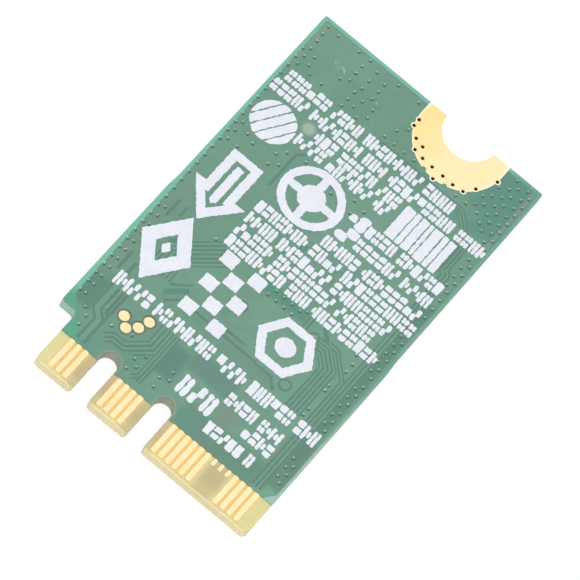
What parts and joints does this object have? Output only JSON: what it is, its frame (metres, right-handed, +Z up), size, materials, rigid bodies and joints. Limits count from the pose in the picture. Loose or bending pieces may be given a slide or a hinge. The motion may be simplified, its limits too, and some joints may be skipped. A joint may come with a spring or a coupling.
{
  "type": "laptop wifi card",
  "caption": "Narrow plug-in wireless card with an edge connector, a mounting half hole, a shield can and two push-on antenna sockets.",
  "frame": {"origin": "under the middle of the board, on the plane of the shield lid's outer face that the card lies on", "axes": "+X to the right as seen from the printed side with the half hole at the top, +Y from the edge connector towards the mounting half hole, +Z up, out of the printed side"},
  "size_m": [0.0166, 0.03, 0.0022],
  "materials": {
    "laminate": "glass-epoxy laminate, pale cream at its bare faces and sides",
    "solder_mask": "thin semi-gloss grey-green solder mask over copper",
    "gold": "thin gold plating over nickel and copper",
    "legend_ink": "matt white legend ink",
    "shield_metal": "thin nickel-silver sheet",
    "moulding": "black epoxy moulding",
    "solder_plating": "tin plating and solder",
    "crystal_ceramic": "dark ceramic base",
    "inductor_ferrite": "dark grey ferrite",
    "filter_ceramic": "white ceramic",
    "capacitor_ceramic": "tan ceramic",
    "socket_plastic": "cream heat-resistant plastic"
  },
  "bodies": {
    "root": {"antenna_matching_bodies": "filter_ceramic", "antenna_matching_end_caps": "solder_plating", "antenna_socket_1_base": "socket_plastic", "antenna_socket_1_pin": "gold", "antenna_socket_1_ring": "gold", "antenna_socket_2_base": "socket_plastic", "antenna_socket_2_pin": "gold", "antenna_socket_2_ring": "gold", "antenna_switch_body": "moulding", "antenna_switch_leads": "solder_plating", "board_laminate": "laminate", "capacitor_bodies": "capacitor_ceramic", "capacitor_end_caps": "solder_plating", "contact_stubs": "gold", "contacts_component_side_left": "gold", "contacts_component_side_middle": "gold", "contacts_component_side_right": "gold", "contacts_printed_side_left": "gold", "contacts_printed_side_middle": "gold", "contacts_printed_side_right": "gold", "crystal_base": "crystal_ceramic", "crystal_lid": "shield_metal", "crystal_pads": "gold", "legend_arrow": "legend_ink", "legend_bar_block": "legend_ink", "legend_checker": "legend_ink", "legend_date_rows": "legend_ink", "legend_diamond": "legend_ink", "legend_hexagon": "legend_ink", "legend_row_lower": "legend_ink", "legend_rows_middle": "legend_ink", "legend_rows_upper": "legend_ink", "legend_striped_disc": "legend_ink", "legend_target": "legend_ink", "mounting_pad_component_side": "gold", "mounting_pad_printed_side": "gold", "mounting_pad_vias": "gold", "power_inductor_body": "inductor_ferrite", "power_inductor_terminals": "solder_plating", "radio_chip_body": "moulding", "radio_chip_leads": "solder_plating", "radio_chip_thermal_pad": "solder_plating", "radio_filter_body": "filter_ceramic", "radio_filter_terminals": "solder_plating", "resistor_bodies": "moulding", "resistor_end_caps": "solder_plating", "shield_frame": "shield_metal", "shield_ground_land": "gold", "shield_lid": "shield_metal", "solder_mask_component_side": "solder_mask", "solder_mask_printed_side": "solder_mask", "test_pads": "gold"}
  },
  "joints": []
}
